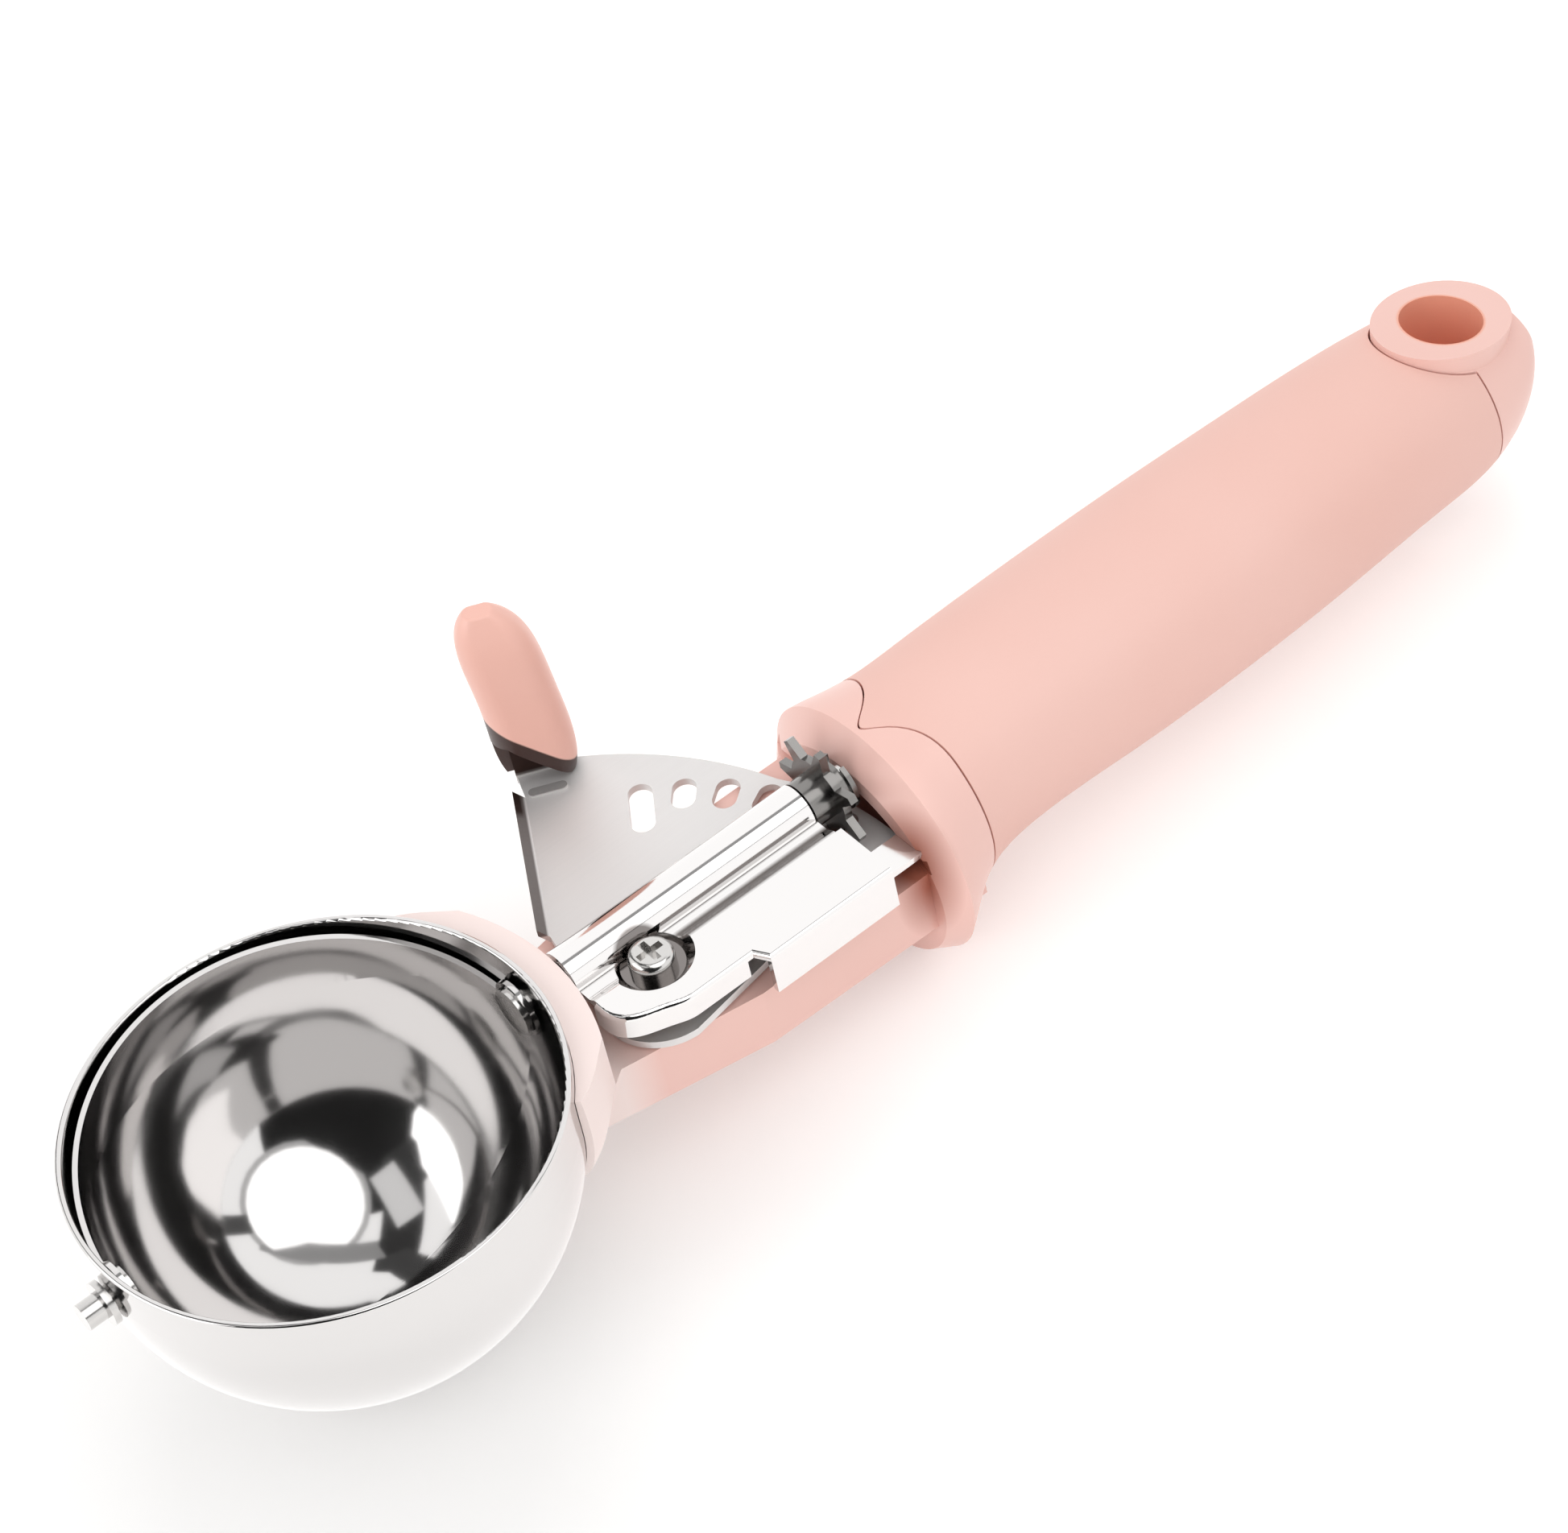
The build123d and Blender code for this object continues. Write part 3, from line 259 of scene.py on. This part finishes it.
hole_top_mm, hole_tilt = (166.02, 0.0, 4.8), math.radians(10)
hole_edge_mm, hole_wall_mm = 5.35, 5.1
flat_in_z = (1, 1, 0)
tree = collar_pink.node_tree
place = add_node(tree, "ShaderNodeTexCoord")
to_hole = add_node(
    tree, "ShaderNodeMapping", [("Location", [-v * MM for v in hole_top_mm])], [("Vector", place, "Object")]
)
upright = add_node(
    tree, "ShaderNodeMapping", [("Rotation", (0, -hole_tilt, 0))], [("Vector", to_hole, "Vector")]
)
flat_place = add_node(tree, "ShaderNodeMapping", [("Scale", flat_in_z)], [("Vector", upright, "Vector")])
hole_distance = add_node(tree, "ShaderNodeVectorMath", [], [(0, flat_place, "Vector")], operation="LENGTH")
hole_mask = add_node(
    tree,
    "ShaderNodeMapRange",
    [("From Min", hole_edge_mm * MM), ("From Max", hole_wall_mm * MM)],
    [("Value", hole_distance, "Value")],
)
tint_where(collar_pink, hole_mask, "#F2AC93")
print("hard pink now has", len(tree.nodes), "nodes")

# %% [markdown]
# ## A pale saddle and a shaded mouth
# The saddle behind the bowl is a thin edge that takes light from all sides, so it looks paler: a mask along the
# handle finds it. Little light gets into the mouth behind the wheel and beside the frame's end. Each of these two
# places is a soft egg, and a Mapping node scales the egg to a ball of radius 1, so the distance from its middle
# gives the mask.

# %% Pale saddle
saddle_back_mm, saddle_front_mm = 36, 31
along = add_node(tree, "ShaderNodeSeparateXYZ", [], [("Vector", place, "Object")])
saddle_mask = add_node(
    tree,
    "ShaderNodeMapRange",
    [("From Min", saddle_back_mm * MM), ("From Max", saddle_front_mm * MM)],
    [("Value", along, "X")],
)
tint_where(collar_pink, saddle_mask, "#FAE8E3")
print("hard pink now has", len(tree.nodes), "nodes")

# %% Shaded mouth
# Middle and radii in mm, the share of the radius inside which the shade is full, and its colour.
shaded_places = (
    ((72.5, -11.0, -7.0), (5.0, 7.0, 9.5), 0.35, "#A8604C"),
    ((76.6, 0.0, -10.2), (3.5, 12.2, 10.8), 0.8, "#6E4238"),
)
for middle_mm, radii_mm, full_shade, shade in shaded_places:
    in_place = add_node(
        tree,
        "ShaderNodeMapping",
        [
            ("Location", [-middle / radius for middle, radius in zip(middle_mm, radii_mm)]),
            ("Scale", [per_mm(radius) for radius in radii_mm]),
        ],
        [("Vector", place, "Object")],
    )
    from_middle = add_node(tree, "ShaderNodeVectorMath", [], [(0, in_place, "Vector")], operation="LENGTH")
    shade_mask = add_node(
        tree, "ShaderNodeMapRange", [("From Min", 1.0), ("From Max", full_shade)], [("Value", from_middle, "Value")]
    )
    tint_where(collar_pink, shade_mask, shade)
print("hard pink now has", len(tree.nodes), "nodes")

# %% [markdown]
# ## Where the sector is dark
# The sector's lip leans away from the room and stands in its own shade, and the foot of the thumb tab lies in the
# shade of the hollow under the pad. Both darker colours are painted shade. Both stand above the flat plate, so a mask
# by height finds them, and a second one by the distance out to the tab tells them apart.

# %% Dark lip and tab
lip_foot_mm, lip_full_mm = -4.85, -4.6
tab_foot_mm, tab_full_mm = -4.6, -4.2
tab_inside_mm, tab_outside_mm = 26, 27
tree = satin_stainless.node_tree
place = add_node(tree, "ShaderNodeTexCoord")
spot = add_node(tree, "ShaderNodeSeparateXYZ", [], [("Vector", place, "Object")])
lip_shade_mask = add_node(
    tree,
    "ShaderNodeMapRange",
    [("From Min", lip_foot_mm * MM), ("From Max", lip_full_mm * MM)],
    [("Value", spot, "Z")],
)
# Painted shade on the lip, which leans away from the room.
tint_where(satin_stainless, lip_shade_mask, "#77716F")
tab_height = add_node(
    tree,
    "ShaderNodeMapRange",
    [("From Min", tab_foot_mm * MM), ("From Max", tab_full_mm * MM)],
    [("Value", spot, "Z")],
)
tab_shade_mask = add_node(
    tree,
    "ShaderNodeMapRange",
    [("From Min", tab_inside_mm * MM), ("From Max", tab_outside_mm * MM)],
    [("Value", spot, "Y"), ("To Max", tab_height, "Result")],
)
# Painted shade of the hollow under the pad, on the tab's foot.
tint_where(satin_stainless, tab_shade_mask, "#33201B")
print("satin stainless now has", len(tree.nodes), "nodes")

# %% [markdown]
# ## Painted shade on the frame
# The groove beside the tunnel and the cone round the pivot screw lie in shade, so the steel there is given a darker
# colour, which is painted shade. The frame gets a copy of the polished finish, a little lighter, and two masks find
# the groove by its distance from its middle line and the cone by its distance from the screw.

# %% Painted shade in the groove
groove_start_mm, groove_full_mm = 43.5, 45
groove_middle_mm, groove_edge_mm, groove_floor_mm = -5.6, 1.25, 0.7
frame_stainless = polished_stainless.copy()
frame_stainless.name = "frame_stainless"
tree = frame_stainless.node_tree
tree.nodes["Principled BSDF"].inputs["Base Color"].default_value = linear("#D8D6D5")
place = add_node(tree, "ShaderNodeTexCoord")
spot = add_node(tree, "ShaderNodeSeparateXYZ", [], [("Vector", place, "Object")])
groove_part = add_node(
    tree,
    "ShaderNodeMapRange",
    [("From Min", groove_start_mm * MM), ("From Max", groove_full_mm * MM)],
    [("Value", spot, "X")],
)
from_middle = add_node(tree, "ShaderNodeMath", [(1, -groove_middle_mm * MM)], [(0, spot, "Y")], operation="ADD")
groove_side = add_node(tree, "ShaderNodeMath", [], [(0, from_middle, "Value")], operation="ABSOLUTE")
groove_shade_mask = add_node(
    tree,
    "ShaderNodeMapRange",
    [("From Min", groove_edge_mm * MM), ("From Max", groove_floor_mm * MM)],
    [("Value", groove_side, "Value"), ("To Max", groove_part, "Result")],
)
# Painted shade along the groove beside the tunnel.
tint_where(frame_stainless, groove_shade_mask, "#6B6664")
print("frame finish has", len(tree.nodes), "nodes")

# %% Painted shade in the cone
screw_place_mm = (40.6, -5.9, 0.0)
cone_edge_mm, cone_full_mm = 4.3, 3.9
from_screw = add_node(
    tree,
    "ShaderNodeMapping",
    [("Location", [-v * MM for v in screw_place_mm]), ("Scale", flat_in_z)],
    [("Vector", place, "Object")],
)
screw_distance = add_node(tree, "ShaderNodeVectorMath", [], [(0, from_screw, "Vector")], operation="LENGTH")
cone_shade_mask = add_node(
    tree,
    "ShaderNodeMapRange",
    [("From Min", cone_edge_mm * MM), ("From Max", cone_full_mm * MM)],
    [("Value", screw_distance, "Value")],
)
# Painted shade in the cone round the pivot screw.
tint_where(frame_stainless, cone_shade_mask, "#7A7573")
print("frame finish now has", len(tree.nodes), "nodes")

# %% [markdown]
# ## Painted shade in the pad's hollow
# The pad's foot is open towards the lever's corner, and the shade in its hollow is painted as a dark wedge. The
# wedge lies under a sloping plane and on the bowl's side of the pad, so two dot products with the planes' directions
# find it.

# %% Painted shade in the pad's hollow
hollow_up, hollow_edge_mm, hollow_full_mm = (0.891, -0.454, 1.0), 33.4, 33.1
pad_facing, pad_middle_mm, pad_front_mm = (-0.542, -0.84, -0.037), -56.2, -55.8
tree = pad_pink.node_tree
place = add_node(tree, "ShaderNodeTexCoord")
slope = add_node(tree, "ShaderNodeVectorMath", [(1, hollow_up)], [(0, place, "Object")], operation="DOT_PRODUCT")
towards_bowl = add_node(
    tree, "ShaderNodeVectorMath", [(1, pad_facing)], [(0, place, "Object")], operation="DOT_PRODUCT"
)
bowl_side = add_node(
    tree,
    "ShaderNodeMapRange",
    [("From Min", pad_middle_mm * MM), ("From Max", pad_front_mm * MM)],
    [("Value", towards_bowl, "Value")],
)
hollow_shade_mask = add_node(
    tree,
    "ShaderNodeMapRange",
    [("From Min", hollow_edge_mm * MM), ("From Max", hollow_full_mm * MM)],
    [("Value", slope, "Value"), ("To Max", bowl_side, "Result")],
)
# Painted shade of the hollow at the pad's foot.
tint_where(pad_pink, hollow_shade_mask, "#3B231D")
print("pad finish has", len(tree.nodes), "nodes")

# %% [markdown]
# ## Give each CAD node its finish
# A CAD node's mesh stays as it is, and only its material slots change. A table of node to finish is easy to read
# and leaves no node with the plain colour it came with in model.glb.

# %% Finishes on the CAD nodes
node_finish = {
    polished_stainless: ("bowl", "sweeper_blade"),
    frame_stainless: ("frame",),
    satin_stainless: ("lever_sector", "bowl_strap"),
    plated_steel: (
        "front_pivot_pin",
        "front_pin_clip",
        "sweep_shaft",
        "pivot_screw",
        "strap_screws",
        "tang_screws",
    ),
    plated_steel_painted_shade: ("star_wheel", "wheel_clip"),
    spring_wire: ("return_spring",),
    turned_brass: ("pivot_bush", "pivot_insert"),
    white_acetal: ("front_shaft_bush", "rear_shaft_bush", "pivot_washer"),
    soft_pink: ("grip_sleeve",),
    collar_pink: ("handle_core",),
    pad_pink: ("thumb_pad",),
}
for finish, names in node_finish.items():
    for name in names:
        for material_slot in nodes[name].material_slots:
            material_slot.material = finish
print("nodes with a finish:", sum(len(names) for names in node_finish.values()), "of", len(nodes))

# %% [markdown]
# ## The floor
# The scoop lies on its bowl and on the small flat under its collar, so a white floor that touches both is tilted by
# two degrees to the part. The paper glows a little to the camera, and more under the handle, where the picture has
# hardly any shadow. It glows in reflections too, so that the steel shows a white floor.

# %% Floor
floor_size, floor_below_mm, floor_tilt = 8.0, 28.05, math.radians(2.0)
bowl_middle_mm, under_handle_mm = 0, 80
bpy.ops.object.select_all(action="DESELECT")
bpy.ops.mesh.primitive_plane_add(size=floor_size)
floor = bpy.context.object
floor.name = "white_floor"
floor.data.transform(Matrix.Rotation(-floor_tilt, 4, "Y") @ Matrix.Translation((0, 0, -floor_below_mm * MM)))
floor_finish, tree, shader = new_finish("white_paper", Roughness=0.9)
shader.inputs["Base Color"].default_value = linear("#F2F1F0")
floor.data.materials.append(floor_finish)
light_path = add_node(tree, "ShaderNodeLightPath")
place = add_node(tree, "ShaderNodeTexCoord")
along = add_node(tree, "ShaderNodeSeparateXYZ", [], [("Vector", place, "Object")])
paleness = add_node(
    tree,
    "ShaderNodeMapRange",
    [
        ("From Min", bowl_middle_mm * MM),
        ("From Max", under_handle_mm * MM),
        ("To Min", 0.13),
        ("To Max", 0.31),
    ],
    [("Value", along, "X")],
)
camera_glow = add_node(
    tree, "ShaderNodeMath", [], [(0, light_path, "Is Camera Ray"), (1, paleness, "Result")], operation="MULTIPLY"
)
mirror_glow = 0.52
glow = add_node(
    tree,
    "ShaderNodeMath",
    [(1, mirror_glow)],
    [(0, light_path, "Is Glossy Ray"), (2, camera_glow, "Value")],
    operation="MULTIPLY_ADD",
)
shader.inputs["Emission Color"].default_value = linear("#FFFFFF")
tree.links.new(glow.outputs["Value"], shader.inputs["Emission Strength"])
print("floor tilted by", round(math.degrees(floor_tilt), 1), "degrees")

# %% [markdown]
# ## The room
# The room is the world's background. It is plain white to the camera, a little dimmer as light on the pieces, so that
# their colours come out as they are written, and brighter in reflections, so that the steel shows a bright room.

# %% World
room_light, white_to_camera, mirror_extra = 0.74, 1.0, 0.68
world = bpy.data.worlds.new("white_room")
bpy.context.scene.world = world
world.use_nodes = True
tree = world.node_tree
background = tree.nodes["Background"]
background.inputs["Color"].default_value = linear("#FFFFFF")
light_path = add_node(tree, "ShaderNodeLightPath")
backdrop = add_node(
    tree,
    "ShaderNodeMapRange",
    [("To Min", room_light), ("To Max", white_to_camera)],
    [("Value", light_path, "Is Camera Ray")],
)
room = add_node(
    tree,
    "ShaderNodeMath",
    [(1, mirror_extra)],
    [(0, light_path, "Is Glossy Ray"), (2, backdrop, "Result")],
    operation="MULTIPLY_ADD",
)
tree.links.new(room.outputs["Value"], background.inputs["Strength"])
bpy.context.scene.view_settings.view_transform = "Standard"
print("room light", room_light, "and", round(room_light + mirror_extra, 2), "in reflections")

# %% [markdown]
# ## The lamps
# Soft light comes from a large lamp above on the lever's side, a second one in front of the bowl and a weaker one on
# the camera's side. Square area lamps that are turned to a target do this. They don't show in the steel.


# %% Lamps
def soft_lamp(name, position_mm, target_mm, size_mm, watts):
    lamp_data = bpy.data.lights.new(name, "AREA")
    lamp_data.energy = watts
    lamp_data.size = size_mm * MM
    lamp = bpy.data.objects.new(name, lamp_data)
    bpy.context.scene.collection.objects.link(lamp)
    lamp.location = Vector(position_mm) * MM
    direction = (Vector(target_mm) - Vector(position_mm)).normalized()
    lamp.rotation_euler = direction.to_track_quat("-Z", "Y").to_euler()
    lamp.visible_glossy = False
    print(name, "of", watts, "W")


soft_lamp("key_lamp", (330, 360, 640), (40, 0, -10), 460, 1.0)
soft_lamp("fill_lamp", (300, -420, 460), (60, 0, -10), 500, 0.35)
soft_lamp("front_lamp", (-430, -190, 330), (50, 0, -5), 500, 1.2)

# %% [markdown]
# ## What the mirror sees
# Polished steel shows its room, not its own colour. In the picture the bowl shows a round window overhead, dark
# furniture on the camera's side and a dark strip between two pale walls. Flat cards that only reflections can see
# do the same: each stands on a dome about the bowl, at an angle from straight up and an angle round it. They cast
# no shadow and give no light to the pink pieces.


# %% Reflection cards
def make_card(card, name, brightness):
    card.name = name
    finish, tree, shader = new_finish(name, Roughness=1.0, Specular_IOR_Level=0.0)
    shader.inputs["Base Color"].default_value = linear("#000000")
    shader.inputs["Emission Color"].default_value = linear("#FFFFFF")
    shader.inputs["Emission Strength"].default_value = brightness
    card.data.materials.append(finish)
    card.visible_camera = False
    card.visible_diffuse = False
    card.visible_shadow = False
    card.visible_transmission = False


def reflection_card(name, sides, from_up, around, half_wide, half_high, brightness, distance_mm, turn=0):
    bpy.ops.object.select_all(action="DESELECT")
    corner = 1 / math.cos(math.pi / sides)
    bpy.ops.mesh.primitive_circle_add(vertices=sides, radius=corner, fill_type="NGON")
    card = bpy.context.object
    reach = distance_mm * MM
    half_sizes = [reach * math.tan(math.radians(angle)) for angle in (half_wide, half_high)]
    up, side = math.radians(from_up), math.radians(around)
    facing = Matrix.Rotation(side, 4, "Z") @ Matrix.Rotation(up, 4, "Y")
    flat = Matrix.Rotation(math.radians(turn), 4, "Z") @ Matrix.Diagonal((*half_sizes, 1.0, 1.0))
    square = Matrix.Rotation(math.pi / sides, 4, "Z")
    card.data.transform(facing @ Matrix.Translation((0, 0, reach)) @ flat @ square)
    make_card(card, name, brightness)


# Name and number of sides, then degrees from straight up, round the bowl and of half the width and height, then the
# brightness, the distance in mm and, where a card is turned in its own plane, the degrees of that.
cards = (
    ("white_panel", 4, 60, 162, 20, 26, 2.6, 820),
    ("dark_furniture", 48, 50, 228, 44, 44, 0.02, 800),
    ("dark_corner", 4, 24, 157, 10, 31, 0.05, 780, -23),
    ("dark_strip", 4, 46, 97, 27, 6.5, 0.08, 775),
    ("grey_gap", 4, 17, 10, 28, 5, 0.4, 770, -48),
    ("window_edge", 24, 25, -65, 30, 30, 0.6, 760),
    ("round_window", 24, 25, -65, 27, 27, 2.2, 740),
    ("grey_wall", 4, 24, 173, 7, 14, 1.0, 740, -8),
    ("dark_spot", 4, 58, -27, 13, 4.5, 0.1, 740, 18),
)
for card_values in cards:
    reflection_card(*card_values)
print("reflection cards:", len(cards))

# %% [markdown]
# ## A low dark wall
# The steel that faces the far side of the room shows a darker band low down. A ring round the tool, cut open on the
# camera's side, does this: a cylinder without ends is added, and the faces that aren't wanted are picked by their
# angle round the bowl and deleted.

# %% A low dark wall along the far side
wall_radius, wall_height, wall_middle = 0.8, 0.24, 0.19
wall_from, wall_to = -20, 125
bpy.ops.object.select_all(action="DESELECT")
bpy.ops.mesh.primitive_cylinder_add(
    vertices=72, radius=wall_radius, depth=wall_height, end_fill_type="NOTHING", location=(0, 0, wall_middle)
)
bpy.ops.object.transform_apply(location=True)
low_wall = bpy.context.object
for face in low_wall.data.polygons:
    around = math.degrees(math.atan2(face.center.y, face.center.x))
    face.select = not wall_from < around < wall_to
bpy.ops.object.mode_set(mode="EDIT")
bpy.ops.mesh.select_mode(type="FACE")
bpy.ops.mesh.delete(type="FACE")
bpy.ops.object.mode_set(mode="OBJECT")
make_card(low_wall, "low_dark_wall", 0.3)
print("low wall has", len(low_wall.data.polygons), "faces")
